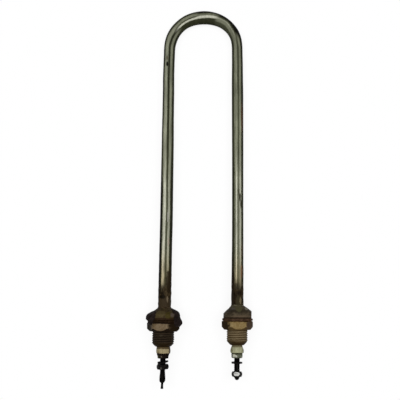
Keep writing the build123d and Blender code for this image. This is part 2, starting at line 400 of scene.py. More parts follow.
# How far round the bend a point lies, from -1 on the left leg to 1 on the right one.
reach = maths(tree, "MAXIMUM", plus(tree, offset, bend_radius), 1.0)
around = maths(tree, "DIVIDE", times(tree, across, 1 / MILLIMETRE), reach)
bands = {}
for name, band_level in oxide_light_bands.items():
    shifted = less(tree, banded,
                    times(tree, around, 0.3)) if "bend" in name else banded
    if name == "bend_right":
        shifted = plus(tree, less(tree, banded, 0.15),
                        times(tree, softened(tree, around, 0.62, 0.92), 0.38))
    bands[name] = banded_colour(tree, shifted, *band_level)
behind = softened(tree, station, 0.0, -3.0)
low = softened(tree, plus(tree, station, times(tree, wander, 60.0)), 72.0, 108.0)
colour = blend_colours(tree, low, bands["left"], bands["left_low"])
for name, start, end in (("bend_left", -0.92, -0.7), ("bend", -0.32, -0.08), ("bend_right", 0.3, 0.46)):
    share = times(tree, softened(tree, around, start, end), behind)
    colour = blend_colours(tree, share, colour, bands[name])
on_right = maths(tree, "MAXIMUM", softened(tree, around, 0.88, 0.99),
                 times(tree, softened(tree, station, -3.0, 0.0),
                       softened(tree, around, -0.1, 0.1)))
colour = blend_colours(tree, on_right, colour, blend_colours(tree, low, bands["right"], bands["right_low"]))
gain = ramp(tree, maths(tree, "DIVIDE", station, 200.0),
            *((start / 200, share) for start, share in oxide_gain))
mottle = ramp(tree, grain(tree, place, 2.6, 5.0, 0.6, 5.0), (0.3, 1.5), (0.5, 2.0), (0.7, 2.35))
colour = blend_colours(tree, 1.0, blend_colours(tree, 1.0, colour, gain, "MULTIPLY"), mottle, "MULTIPLY")
drawn = ramp(tree, grain(tree, place, 0.9, 3.0, 0.5, 40.0), (0.36, 0.78), (0.5, 1.0), (0.64, 1.2))
colour = blend_colours(tree, less(tree, 1.0, behind), colour,
                       blend_colours(tree, 1.0, colour, drawn, "MULTIPLY"))
scorch_edge = times(tree, less(tree, grain(tree, place, 6.0, 5.0, 0.6, 2.0), 0.5),
                    14.0)
scorch = softened(tree, plus(tree, station, scorch_edge), 166.0, 176.0)
rust = ramp(tree, grain(tree, place, 2.6, 6.0, 0.7, 1.5), (0.36, seen(12, 7, 2)), (0.5, seen(34, 26, 14)),
            (0.6, seen(56, 46, 29)), (0.72, seen(88, 74, 52)))
warm = softened(tree, station, 140.0, 172.0)
colour = blend_colours(tree, warm, colour, blend_colours(tree, 1.0, colour, (1.0, 0.86, 0.68), "MULTIPLY"))
colour = blend_colours(tree, scorch, colour, rust)
stains_and_highlight = {  # rust, pits, scale and one painted highlight: centre, radii, colour, strength
    "left": (((-1.35, 3.8, 13.2), (0.7, 1.6, 2.0), (8, 6, 3), 1.0),
             ((-1.5, 3.8, 8.5), (0.7, 1.5, 1.6), (70, 56, 36), 0.6),
             ((2.6, 2.8, 169), (2.2, 3.6, 7.0), (38, 30, 18), 0.92),
             # a painted highlight on the top of the left leg
             ((1.3, 3.7, 125.5), (0.5, 2.0, 4.5), (178, 174, 166), 0.55),
             ((2.0, 3.5, 143), (0.45, 2.0, 3.5), (168, 140, 128), 0.45),
             ((0.0, 3.0, 185.5), (7.0, 6.0, 4.0), (55, 45, 31), 0.85),
             ((-1.2, 3.5, 180.8), (2.2, 3.0, 1.2), (15, 10, 2), 0.9),
             ((2.1, 3.4, 182.3), (0.6, 2.0, 2.2), (104, 92, 73), 0.9)),
    "right": (((3.0, 2.4, 53), (0.7, 2.6, 11.0), (76, 50, 30), 0.75),
              ((0.8, 3.9, 107.5), (0.4, 1.6, 2.6), (40, 36, 20), 0.9),
              ((1.6, 3.7, 111.0), (0.55, 1.6, 2.8), (34, 31, 17), 0.95),
              ((2.3, 3.3, 116), (0.55, 2.0, 3.0), (38, 34, 19), 0.9),
              ((2.9, 2.8, 148), (0.5, 2.0, 6.0), (70, 52, 32), 0.6),
              ((2.6, 3.0, 163), (0.7, 2.0, 5.0), (124, 88, 62), 0.55),
              ((-3.2, 2.2, 169), (1.1, 3.0, 8.0), (30, 22, 14), 0.85),
              ((-3.4, 2.0, 182), (1.3, 3.0, 6.0), (33, 27, 20), 0.85),
              ((0.3, 3.5, 183), (1.6, 3.0, 4.0), (48, 43, 27), 0.85),
              ((1.9, 3.5, 182.8), (0.75, 2.0, 2.4), (106, 96, 73), 0.85)),
}
for side in SIDES:
    colour = paint_blots(tree, place, side, colour, stains_and_highlight[side])
tree.links.new(colour, shader.inputs["Base Color"])
add_bump(tree, shader, grain(tree, place, 1.6, 6.0, 0.6, 3.0), 0.05)
sheath.data.materials.append(steel)
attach(sheath, "root")
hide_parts("sheath_tube")


# Braze: a ring of brazing alloy in the corner between sheath and fitting, lumpy where it froze.
BRAZE_REACH = 1.6  # how far it climbs the sheath and the cone
BUSH_BORE = SHEATH_RADIUS + 0.05
CONE_LIP = BUSH_BORE + 0.35
CONE_HEIGHT = 3.9
SHOULDER_RADIUS = 9.5
SHOULDER_HEIGHT = 4.2
SHANK_LENGTH = 17.8
shoulder_face = {side: mouth_station[side] - SHANK_LENGTH for side in SIDES}
cone_mouth = {side: shoulder_face[side] - SHOULDER_HEIGHT - CONE_HEIGHT for side in SIDES}


def lathe(outline, steps=96, closed=True, rounding=0.0):
    """Spins an outline of (radius, station) points about the leg's axis; rounding softens its corners."""
    bm = bmesh.new()
    verts = [bm.verts.new((radius, 0, station)) for radius, station in outline]
    pairs = list(zip(verts, verts[1:])) + ([(verts[-1], verts[0])] if closed else [])
    for pair in pairs:
        bm.edges.new(pair)
    if rounding:
        corners = verts if closed else verts[1:-1]
        bmesh.ops.bevel(bm, geom=corners, offset=rounding, segments=3, profile=0.5, affect="VERTICES",
                        material=-1)
    bmesh.ops.spin(bm, geom=list(bm.verts) + list(bm.edges), cent=(0, 0, 0), axis=(0, 0, 1),
                   dvec=(0, 0, 0), angle=math.tau, steps=steps, use_merge=True)
    bmesh.ops.remove_doubles(bm, verts=bm.verts, dist=0.0005)
    return bm


def roughen(bm, size, depth, seed=0.0):
    """Moves every point out or in along its normal by fractal unevenness."""
    bm.normal_update()
    for vert in bm.verts:
        vert.co += vert.normal * rough(vert.co + Vector((seed, 0, 0)), size, depth)


def hollow(start, end, depth, points=6):
    """Points of a hollow curve between two (radius, station) places, sagging by a depth."""
    (r0, z0), (r1, z1) = start, end
    length = math.hypot(r1 - r0, z1 - z0)
    normal = ((z1 - z0) / length, -(r1 - r0) / length)
    return [(r0 + (r1 - r0) * t - normal[0] * depth * 4 * t * (1 - t),
             z0 + (z1 - z0) * t - normal[1] * depth * 4 * t * (1 - t))
            for t in [step / points for step in range(points + 1)]]


cone_slope = math.atan2(SHOULDER_RADIUS - CONE_LIP, CONE_HEIGHT)
braze_tones = {"left": ((40, 30, 18), (55, 44, 29), (74, 62, 44)),
               "right": ((48, 43, 31), (68, 63, 46), (92, 87, 72))}
for side in SIDES:
    mouth = cone_mouth[side]
    climb = (CONE_LIP + BRAZE_REACH * math.sin(cone_slope), mouth + BRAZE_REACH * math.cos(cone_slope))
    bm = lathe(hollow((SHEATH_RADIUS + 0.02, mouth - BRAZE_REACH), climb, 0.28)
               + [(CONE_LIP, mouth + 0.4), (BUSH_BORE, mouth + 0.4)])
    roughen(bm, 1.6, 0.16 if side == "left" else 0.08, seed=leg_x[side] * 500)
    braze = finish_piece(bm, f"{side}_braze", leg_frame(leg_x[side]))
    braze_alloy, tree, shader, place = new_finish(f"{side}_braze_alloy", 0.0, 0.5)
    tones = (seen(*tone) for tone in braze_tones[side])
    tree.links.new(ramp(tree, grain(tree, place, 2.0, 6.0, 0.65), *zip((0.36, 0.5, 0.64), tones)),
                   shader.inputs["Base Color"])
    add_bump(tree, shader, grain(tree, place, 1.0, 6.0, 0.7), 0.08)
    braze.data.materials.append(braze_alloy)
    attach(braze, "root")
    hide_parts(f"{side}_braze_fillet")


# Fitting bush: turned from brass bar, with a cone up to a round shoulder, and a shank with a cut M14
# thread that runs out over the chamfered end. The brass is tarnished brown and olive all over.
THREAD_PITCH = 1.5
THREAD_DEPTH = {"left": 0.42, "right": 0.5}  # what dirt and wear have left of it
THREAD_STEPS = 72  # round one turn
SHANK_RADIUS = 7.0
RELIEF_RADIUS = 6.05
RELIEF_WIDTH = 1.3
end_chamfer = {"left": 2.2, "right": 2.8}
end_rim = {"left": BUSH_BORE + 0.85, "right": BUSH_BORE + 0.5}
CHAMFER_BOW = 0.85  # below 1 the chamfer bulges outwards
ASKEW = {"left": 0.5, "right": 0.16}  # how far each fitting leans to the left by its mouth


def askew_at(side, station):
    """Sideways place of a fitting's axis at a station: it leaves the leg's axis after the cone."""
    share = max(0.0, min(1.0, (station - cone_mouth[side] - 2) / 12))
    return -ASKEW[side] * share * share * (3 - 2 * share)


def widen(vert, share):
    """Moves a point away from the leg's axis by a share of its distance."""
    vert.co = Vector((vert.co.x * share, vert.co.y * share, vert.co.z))


def lean(bm, side, start=0.0):
    """Shifts a fitting's points, which stand from a start station, along with its leaning axis."""
    for vert in bm.verts:
        vert.co.x += askew_at(side, start + vert.co.z)


def cut_thread(crest, depth, pitch, start, end, steps):
    """The skin of a screw thread between two stations, open at both ends; its crests are worn round."""
    bm = bmesh.new()
    root = crest - depth
    outline = [(crest, 0.0), (crest - depth * 0.15, 0.12), (root + depth * 0.1, 0.38), (root, 0.5),
               (root + depth * 0.1, 0.62), (crest - depth * 0.15, 0.88), (crest, 1.0)]
    verts = [bm.verts.new((radius, 0, start - 1.5 * pitch + share * pitch)) for radius, share in outline]
    for pair in zip(verts, verts[1:]):
        bm.edges.new(pair)
    turns = int((end - start) / pitch) + 3
    bmesh.ops.spin(bm, geom=list(bm.verts) + list(bm.edges), cent=(0, 0, 0), axis=(0, 0, 1),
                   dvec=(0, 0, pitch / steps), angle=math.tau * turns, steps=steps * turns, use_merge=False)
    bmesh.ops.remove_doubles(bm, verts=bm.verts, dist=0.002)
    for station, outer in ((start, False), (end, True)):
        bmesh.ops.bisect_plane(bm, geom=list(bm.verts) + list(bm.edges) + list(bm.faces), dist=0.0005,
                               plane_co=(0, 0, station), plane_no=(0, 0, 1), clear_outer=outer,
                               clear_inner=not outer)
    return bm


def open_ring(bm, station):
    """The boundary edges that lie at a station."""
    return [edge for edge in bm.edges if edge.is_boundary
            and all(abs(vert.co.z - station) < 0.01 for vert in edge.verts)]


def grow(bm, edges, places):
    """Carries a ring of edges through (radius, station) places, and returns the last ring."""
    for radius, station in places:
        edges = ring_extrude(bm, edges, (0, 0, 0))
        for vert in {vert for edge in edges for vert in edge.verts}:
            reach = math.hypot(vert.co.x, vert.co.y)
            vert.co = Vector((vert.co.x * radius / reach, vert.co.y * radius / reach, station))
    return edges


def leg_reach(tree, place, side):
    """Distance from a leg's axis, and station, both in millimetres."""
    across, up, station = node_of(tree, "ShaderNodeSeparateXYZ", {0: leg_vector(tree, place, side)}).outputs
    across = plus(tree, across, askew_at(side, mouth_station[side]) * -1)
    return maths(tree, "SQRT", plus(tree, times(tree, across, across),
                                     times(tree, up, up))), station


def tarnish(name, side, tones, size, bump, blots=(), metallic=0.0, roughness=0.5, specular=0.02, turned=()):
    """Tarnished skin: coarse and fine stains of three tones, dark to light, then blots of other colours.

    A turned stripe takes its colour where the distance from the leg's axis has passed a line: it is
    (station, radius there, radius gained per millimetre, softness, last station, colour).
    """
    material, tree, shader, place = new_finish(name, metallic, roughness, specular)
    stain = plus(tree, times(tree, grain(tree, place, size, 4.0, 0.6), 0.65),
                  times(tree, grain(tree, place, size / 4, 6.0, 0.7), 0.35))
    colour = ramp(tree, stain, *zip((0.38, 0.5, 0.62), (seen(*tone) for tone in tones)))
    for start, radius, slope, soft, end, tint in turned:
        reach, station = leg_reach(tree, place, side)
        line = plus(tree, times(tree, less(tree, station, start), slope),
                     radius)
        share = times(tree, softened(tree, less(tree, reach, line), -soft, 0.0),
                      times(tree, softened(tree, station, start - 0.4, start),
                            softened(tree, station, end, end - 0.3)))
        colour = blend_colours(tree, share, colour, seen(*tint))
    colour = paint_blots(tree, place, side, colour, blots)
    tree.links.new(colour, shader.inputs["Base Color"])
    add_bump(tree, shader, grain(tree, place, 0.9, 6.0, 0.65), bump)
    return material


shank_growth = {"left": 0.075, "right": 0.03}  # the dirt in and on the thread, as a share of the radius
CONE_SKEW = 0.8  # how far the right cone's edge is skewed up on its outer side
crest_radius = {side: (SHANK_RADIUS - THREAD_DEPTH[side] * 0.45) * (1 + shank_growth[side]) for side in SIDES}
shank_tone = {"left": (24, 18, 11), "right": (68, 55, 33)}
# The thread's crests are lighter than its grooves: partly wear on the crests, partly painted shade in the
# grooves.
thread_crest = {"left": (46, 37, 27), "right": (112, 98, 74)}
bush_tones = {"left": ((44, 35, 22), (58, 48, 30), (72, 62, 40)),
              "right": ((48, 41, 31), (64, 56, 43), (80, 70, 55))}
bush_stains_and_glints = {  # round each fitting, stains and, on the right cone, two painted glints: centre, radii, colour, strength
    "left": (
        ((-9.5, 3.0, 192.5), (4.6, 9.0, 5.0), (32, 24, 25), 1.0),
        ((9.8, 2.0, 191.5), (3.4, 9.0, 5.5), (30, 22, 14), 1.0),
        ((0.0, 5.0, 196.0), (12.0, 12.0, 1.5), (40, 26, 14), 0.9),
        ((-1.9, 8.4, 191.9), (3.4, 3.0, 2.1), (78, 68, 43), 0.75),
        ((2.9, 8.4, 192.8), (2.0, 3.0, 2.4), (62, 54, 20), 0.7),
        ((5.9, 7.4, 192.6), (1.5, 2.4, 1.4), (86, 74, 66), 0.8),
        ((-1.5, 6.9, 206.3), (1.5, 1.5, 0.3), (60, 54, 44), 0.8),
        ((0.0, 0.0, 213.2), (12.0, 12.0, 2.4), (34, 24, 8), 0.8)),
    "right": (
        # two painted glints on the right cone
        ((-3.2, 5.8, 187.9), (2.4, 3.0, 1.0), (80, 74, 68), 0.75),
        ((5.6, 4.0, 188.3), (1.0, 3.0, 1.2), (128, 122, 108), 0.8),
        ((0.0, 5.0, 189.6), (11.0, 11.0, 0.9), (46, 40, 29), 0.7),
        ((0.6, 6.5, 187.8), (2.4, 5.0, 2.6), (76, 72, 50), 0.85),
        ((2.5, 7.0, 193.0), (9.0, 9.0, 0.5), (90, 76, 60), 0.8),
        ((-0.8, 8.0, 194.2), (12.0, 12.0, 0.6), (46, 35, 24), 0.9),
        ((0.0, 0.0, 212.0), (12.0, 12.0, 2.1), (44, 32, 13), 0.95)),
}
for side in SIDES:
    end = mouth_station[side]
    face = shoulder_face[side]
    top = face - SHOULDER_HEIGHT
    thread_start = face + RELIEF_WIDTH + 0.4
    bm = cut_thread(SHANK_RADIUS, THREAD_DEPTH[side], THREAD_PITCH, thread_start, end, THREAD_STEPS)
    for vert in bm.verts:
        reach = math.hypot(vert.co.x, vert.co.y)
        rise = max(0.0, min(1.0, (end - vert.co.z) / end_chamfer[side])) ** CHAMFER_BOW
        limit = end_rim[side] + (SHANK_RADIUS - end_rim[side]) * rise
        if reach > limit:
            widen(vert, limit / reach)
    near = open_ring(bm, thread_start)
    far = open_ring(bm, end)
    rim = 0.8 if side == "right" else 1.1
    near = grow(bm, near, (
        (RELIEF_RADIUS, thread_start - 0.05), (RELIEF_RADIUS, face + 0.1), (RELIEF_RADIUS + 0.1, face),
        (SHOULDER_RADIUS - 0.25, face), (SHOULDER_RADIUS, face - 0.25), (SHOULDER_RADIUS, top + 0.55 * rim),
        (SHOULDER_RADIUS - 0.08 * rim, top + 0.28 * rim), (SHOULDER_RADIUS - 0.3 * rim, top + 0.02),
        (SHOULDER_RADIUS - 0.75 * rim, top - 0.38 * rim), (CONE_LIP + 2.6, cone_mouth[side] + 1.85),
        (CONE_LIP, cone_mouth[side] - 0.05), (BUSH_BORE, cone_mouth[side] - 0.05), (BUSH_BORE, face),
        (BUSH_BORE, end - 0.5)))
    far = grow(bm, far, ((end_rim[side], end), (BUSH_BORE + 0.05, end), (BUSH_BORE, end - 0.05)))
    bmesh.ops.bridge_loops(bm, edges=near + far)
    for vert in bm.verts:
        reach = math.hypot(vert.co.x, vert.co.y)
        if vert.co.z > thread_start and reach > BUSH_BORE + 0.6:
            dirt = shank_growth[side] + rough(vert.co, 3.0, shank_growth[side] / 3)
            widen(vert, 1.0 + dirt * min(1.0, (end - vert.co.z) / 2))
        elif side == "right" and vert.co.z < face - 2.5 and reach > BUSH_BORE + 0.1:
            vert.co.z -= CONE_SKEW * vert.co.x / SHOULDER_RADIUS + 0.1
        if side == "right" and reach > 8 and vert.co.x > 0:
            vert.co.x *= 1 + 0.025 * vert.co.x / reach
    lean(bm, side)
    bush = finish_piece(bm, f"{side}_bush", leg_frame(leg_x[side]))
    bush.data.materials.append(tarnish(f"{side}_bush_tarnish_and_painted_light", side, bush_tones[side], 5.0, 0.06,
                                       bush_stains_and_glints[side],
                                       turned=((face, 0.0, 0.0, 1.0, end + 9, shank_tone[side]),
                                               (thread_start, crest_radius[side], 0.0, 0.15,
                                                end - end_chamfer[side], thread_crest[side]),)))
    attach(bush, "root")
    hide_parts(f"{side}_fitting_bush")


# Gasket: a fibre ring squeezed out between shoulder and nut, frayed and dirty at its rim.
GASKET_RADIUS = 10.3
GASKET_THICKNESS = 1.6
GASKET_SQUEEZE = 0.4  # how far the right one stands out on its outer side
gasket_tones = {"left": ((22, 13, 6), (32, 21, 11), (44, 31, 20)),
                "right": ((42, 29, 20), (60, 44, 31), (80, 61, 47))}
for side in SIDES:
    face = shoulder_face[side]
    bm = lathe([(SHANK_RADIUS + 0.2, face), (GASKET_RADIUS - 0.5, face), (GASKET_RADIUS - 0.1, face + 0.3),
                (GASKET_RADIUS, face + 0.8), (GASKET_RADIUS - 0.1, face + 1.3),
                (GASKET_RADIUS - 0.4, face + GASKET_THICKNESS),
                (SHANK_RADIUS + 0.2, face + GASKET_THICKNESS)],
               steps=120)
    for vert in bm.verts:
        reach = math.hypot(vert.co.x, vert.co.y)
        if reach > SHANK_RADIUS + 1:
            squeezed = GASKET_SQUEEZE * max(0.0, vert.co.x / reach) ** 4 if side == "right" else 0.0
            frayed = min(0.0, rough(vert.co, 2.2, 0.25) - 0.05)
            vert.co += Vector((vert.co.x, vert.co.y, 0)).normalized() * (squeezed + frayed)
    lean(bm, side)
    gasket = finish_piece(bm, f"{side}_gasket_ring", leg_frame(leg_x[side]))
    gasket.data.materials.append(tarnish(f"{side}_gasket_fibre", side, gasket_tones[side], 2.5, 0.15,
                                         roughness=0.8))
    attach(gasket, "root")
    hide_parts(f"{side}_gasket")


# Lock nut: a thin brass hexagon nut, its corners chamfered more deeply on the terminals' side. The flat
# facing up keeps its lighter brass; its flanks and underside are painted darker, partly grime and partly
# painted shade, and a dark line along its top edge is a painted shadow under the gasket.
LOCK_NUT_FLATS = 18.0
LOCK_NUT_HEIGHT = 6.0
lock_nut_turn = {"left": 11.7, "right": -3.0}
NUT_SINK = 0.35
LOCK_NUT_TINT = 1.9  # how far down from its top the chamfer's colour starts
lock_nut_chamfer = {"left": 1.6, "right": 1.9}
nut_swell = {"left": (1.75, 1.3), "right": (0.4, 0.65)}  # scale and dirt on the left and right corners
SWELL_ANGLE = 92  # degrees from upright to the middle of the dirt
SWELL_SPREAD = 34


def hexagon_nut(flats, height, bore, near_chamfer, far_chamfer, steps=144, worn=0.02):
    """A nut standing on station zero; each chamfer is how far it has cut down the corners."""
    half = flats / 2
    corner = half / math.cos(math.pi / 6) * (1 - worn)
    crown = half * 0.97
    sides = [0.12, 0.3, 0.7, 0.88]
    bm = lathe([(bore + NUT_SINK, 0), (crown, 0), (half, 0)] + [(half, height * share) for share in sides]
               + [(half, height), (crown, height), (bore + NUT_SINK, height), (bore, height - NUT_SINK),
                  (bore, NUT_SINK)], steps=steps)
    for vert in bm.verts:
        reach = math.hypot(vert.co.x, vert.co.y)
        if reach < half - 0.01:
            continue
        angle = math.atan2(vert.co.x, vert.co.y)
        swing = (angle + math.pi / 6) % (math.pi / 3) - math.pi / 6
        out = min(half / math.cos(swing), corner)
        cut = (out - crown) / (corner - crown)
        low, high = near_chamfer * cut, height - far_chamfer * cut
        vert.co = Vector((vert.co.x * out / reach, vert.co.y * out / reach,
                          low + (high - low) * vert.co.z / height))
    return bm


nut_tones = {"left": ((88, 73, 52), (104, 88, 66), (118, 102, 82)),
             "right": ((108, 90, 56), (124, 104, 66), (134, 116, 80))}
nut_chamfer_tone = {"left": (24, 15, 7), "right": (76, 60, 34)}
nut_grime_and_shade = {
    "left": (
        # flanks and underside: painted shade, partly grime
        ((-14.6, 2.0, 200.5), (6.4, 40.0, 60.0), (27, 21, 13), 1.0),
        ((10.1, 0.0, 200.5), (6.3, 60.0, 60.0), (30, 21, 11), 1.0),
        ((0.0, -8.0, 200.0), (14.0, 8.0, 8.0), (34, 24, 14), 1.0),
        # a painted shadow along the top edge, under the gasket
        ((-1.0, 8.0, 197.7), (60.0, 60.0, 0.9), (24, 13, 5), 1.0)),
    "right": (
        # flanks and underside: painted shade, partly grime
        ((-12.4, 0.0, 199.0), (6.6, 60.0, 60.0), (40, 31, 18), 1.0),
        ((11.9, 0.0, 199.0), (6.4, 60.0, 60.0), (68, 54, 40), 1.0),
        ((0.0, -8.0, 199.0), (14.0, 8.0, 8.0), (58, 45, 28), 1.0),
        # a painted shadow along the top edge, under the gasket
        ((0.0, 5.0, 196.1), (60.0, 60.0, 0.7), (66, 46, 22), 0.95),
        ((5.7, 6.5, 198.8), (0.7, 1.5, 2.2), (76, 50, 36), 0.8)),
}
for side in SIDES:
    start = shoulder_face[side] + GASKET_THICKNESS
    bm = hexagon_nut(LOCK_NUT_FLATS, LOCK_NUT_HEIGHT, SHANK_RADIUS + 0.02, 0.6, lock_nut_chamfer[side])
    roughen(bm, 2.5, 0.05, seed=7)
    for vert in bm.verts:
        reach = math.hypot(vert.co.x, vert.co.y)
        turned_by = math.degrees(math.atan2(vert.co.x, vert.co.y)) + lock_nut_turn[side]
        swell = math.exp(-((abs(turned_by) - SWELL_ANGLE) / SWELL_SPREAD) ** 2)
        swell *= nut_swell[side][turned_by > 0] * (1 - 0.3 * (vert.co.z / LOCK_NUT_HEIGHT) ** 3)
        if reach > SHANK_RADIUS + 1.5:
            widen(vert, 1 + (swell + rough(vert.co, 2.5, 0.12) * min(1.0, swell)) / reach)
    placed = (leg_frame(leg_x[side]) @ Matrix.Translation((askew_at(side, start + LOCK_NUT_HEIGHT / 2), 0,
                                                           start))
              @ Matrix.Rotation(math.radians(lock_nut_turn[side]), 4, "Z"))
    nut = finish_piece(bm, f"{side}_hexagon_lock_nut", placed, sharp=24)
    chamfer = (start + LOCK_NUT_HEIGHT - LOCK_NUT_TINT, LOCK_NUT_FLATS / 2 + 1.18, -0.76, 0.3, start + 9,
               nut_chamfer_tone[side])
    nut.data.materials.append(tarnish(f"{side}_nut_brass", side, nut_tones[side], 4.0, 0.05, nut_grime_and_shade[side],
                                      turned=(chamfer,)))
    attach(nut, "root")
    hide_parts(f"{side}_lock_nut")


# Ceramic beads: pressed, unglazed ceramic, each of its own shape, cream with brown streaks from the rust
# above.
# The left bead's dark top by the fitting is a painted shadow; the right bead's top is darkened by dirt, and
# the dark ring at its foot by the nut is a painted shadow. A spigot holds each one in the sheath's mouth.
STUD_RADIUS = 2.0
BEAD_BORE = 2.05
BEAD_SPIGOT = (3.15, 3.0)  # radius and length
bead_outline = {
    "left": ((4.45, 0.0), (4.6, 0.5), (4.75, 1.5), (4.85, 2.7), (4.82, 3.5), (4.62, 4.5)),
    "right": ((3.5, 0.0), (3.6, 0.5), (3.95, 1.5), (4.42, 2.9), (4.58, 3.9), (4.52, 4.6), (4.25, 5.3)),
}
bead_length = {side: bead_outline[side][-1][1] for side in SIDES}
bead_tones = {"left": ((88, 74, 48), (138, 126, 94), (164, 150, 116)),
              "right": ((116, 115, 86), (148, 147, 116), (164, 163, 132))}
bead_stains_and_shade = {
    # a painted shadow at the top, under the fitting
    "left": (((0.0, 0.0, 214.6), (9.0, 9.0, 0.9), (60, 44, 16), 0.9),
             ((5.0, 0.0, 216.5), (1.5, 6.0, 4.0), (60, 46, 26), 0.9),
             ((0.0, 0.0, 218.9), (9.0, 9.0, 0.9), (52, 38, 24), 1.0)),
    "right": (((0.0, 0.0, 212.6), (9.0, 9.0, 1.2), (96, 88, 62), 0.9),
              # a painted shadow at the foot, by the nut
              ((-0.3, 3.0, 217.8), (5.0, 4.0, 0.55), (36, 35, 14), 1.0),
              ((-4.2, 1.0, 216.0), (0.9, 5.0, 2.2), (110, 108, 78), 0.7),
              ((4.3, 1.0, 216.0), (0.9, 5.0, 2.2), (104, 102, 72), 0.7)),
}
terminal_drift = {  # how far the stud leans to the left: (station past the mouth, mm)
    "left": ((-3.0, 0.0), (0.0, 0.2), (4, 0.22), (8, 0.38), (16, 0.46), (22, 0.5), (28, 0.68)),
    "right": ((-3.0, 0.0), (0.0, 0.2), (8, 0.27), (22, 0.3)),
}


def drift(side, past):
    """The stud's sideways place, in millimetres, at a distance past the mouth."""
    return -eased(terminal_drift[side], past, 1.0)


def terminal_frame(side, station):
    """The frame of what sits on a stud, with zero at a station on it."""
    return leg_frame(leg_x[side]) @ Matrix.Translation((drift(side, station - mouth_station[side]), 0,
                                                        station))


for side in SIDES:
    spigot, depth = BEAD_SPIGOT
    bm = lathe([(BEAD_BORE, -depth), (spigot, -depth), (spigot, 0.0)] + list(bead_outline[side])
               + [(BEAD_BORE, bead_length[side])], rounding=0.22)
    for vert in bm.verts:
        if vert.co.z > 0.2:
            vert.co += Vector((vert.co.x, vert.co.y, 0)).normalized() * rough(vert.co, 3.0, 0.06)
    placed = terminal_frame(side, mouth_station[side])
    bead = finish_piece(bm, f"{side}_bead", placed)
    material, tree, shader, place = new_finish(f"{side}_bead_ceramic", 0.0, 0.5, specular=0.1)
    streaks = grain(tree, place, 2.2, 5.0, 0.65, 5.0)
    colour = ramp(tree, streaks, *zip((0.3, 0.45, 0.62), (seen(*tone) for tone in bead_tones[side])))
    tree.links.new(paint_blots(tree, place, side, colour, bead_stains_and_shade[side]), shader.inputs["Base Color"])
    add_bump(tree, shader, grain(tree, place, 0.7, 6.0, 0.6), 0.05)
    bead.data.materials.append(material)
    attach(bead, "root")
    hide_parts(f"{side}_ceramic_bead")


# Terminal pins: steel rods with a rolled M4 thread, blackened by heat. The left one keeps a thin nib
# with an upset head beyond its taper, the right one ends in a short taper.
STUD_PITCH = 0.7
STUD_STEPS = 36
STUD_DEPTH = 0.3  # of the worn thread
PIN_RADIUS = 1.75
PIN_SPIGOT = (1.13, 8.0)  # radius and length of the part that the coil is wound over
COLD_LENGTH = 60.0
stud_length = {"left": 22.4, "right": 21.3}
stud_end = {
    "left": ((1.55, 0.75), (0.95, 1.4), (0.8, 1.6), (0.78, 3.7), (0.9, 4.1), (0.93, 4.9), (0.85, 5.2)),
    "right": ((1.6, 0.6), (1.1, 1.3), (0.85, 1.6), (0.6, 1.7)),
}
left_waist = ((16.5, 1.8, -0.1), (21.0, 2.6, 0.08))  # eaten and caked rings: middle, half width, share
PIN_TONES = ((1, 1, 1), (5, 4, 4), (14, 13, 12))
# A painted highlight along the top of each stud.
pin_highlights = {
    "left": (((-0.6, 2.0, 234.0), (0.4, 1.0, 2.0), (30, 28, 25), 0.6),),
    "right": (((-0.1, 2.0, 227.5), (0.45, 1.0, 3.4), (34, 34, 32), 0.8),),
}
for side in SIDES:
    mouth = mouth_station[side]
    tip = mouth + stud_length[side]
    bm = cut_thread(STUD_RADIUS, STUD_DEPTH, STUD_PITCH, mouth + 0.8, tip, STUD_STEPS)
    near = open_ring(bm, mouth + 0.8)
    far = open_ring(bm, tip)
    cold_end = mouth - COLD_LENGTH
    near = grow(bm, near, (
        (STUD_RADIUS, mouth + 0.7), (STUD_RADIUS, mouth + 0.25), (PIN_RADIUS, mouth), (PIN_RADIUS, cold_end),
        (PIN_SPIGOT[0], cold_end), (PIN_SPIGOT[0], cold_end - PIN_SPIGOT[1])))
    far = grow(bm, far, [(radius, tip + past) for radius, past in stud_end[side]])
    for edges in (near, far):
        bmesh.ops.holes_fill(bm, edges=edges, sides=0)
    for vert in bm.verts:
        past = max(0.0, vert.co.z - mouth)
        if side == "left" and 14.5 < past < stud_length[side] + 1:
            waist = 1 + sum(share * math.exp(-((past - middle) / half) ** 2) for middle, half,
                            share in left_waist)
            widen(vert, waist)
        vert.co.x += drift(side, vert.co.z - mouth)
    pin = finish_piece(bm, f"{side}_pin", leg_frame(leg_x[side]))
    pin.data.materials.append(tarnish(f"{side}_pin_steel", side, PIN_TONES, 2.5, 0.03, pin_highlights[side],
                                      specular=0.012))
    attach(pin, "root")
    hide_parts(f"{side}_terminal_pin")


# Terminal nuts: small M4 nuts. The left ones are blackened and caked, the right inner one is dull grey. The
# light face and glints on the right ones' upper sides, and a glint on the left inner one, are painted
# highlights.
SMALL_NUT_FLATS = 7.0
SMALL_NUT_HEIGHT = 3.2
small_nut_turn = {("left", "inner"): 30.0, ("right", "inner"): 22.0, ("left", "outer"): 8.0,
                  ("right", "outer"): 0.0}
outer_nut_distance = {"left": 3.9, "right": 9.0}
small_nut_stretch = {("left", "outer"): (1.06, 1.06, 1.0), ("right", "outer"): (0.92, 0.95, 1.0)}
CAKED_EVEN = 1.03  # dirt on the left inner nut: everywhere, and more at its foot
CAKED_FOOT = 0.17
CAKED_HEIGHT = 1.2
OUTER_TIP = 3.0  # degrees that the left outer nut is tipped
inner_nut_end = {side: mouth_station[side] + bead_length[side] + 0.03 + SMALL_NUT_HEIGHT for side in SIDES}
small_nut_tones = {
    ("left", "inner"): ((5, 3, 2), (12, 8, 6), (26, 18, 13)),
    ("right", "inner"): ((70, 72, 58), (92, 95, 80), (124, 126, 110)),
    ("left", "outer"): ((3, 2, 2), (9, 7, 6), (22, 20, 18)),
    ("right", "outer"): ((8, 8, 7), (24, 24, 22), (60, 60, 57)),
}
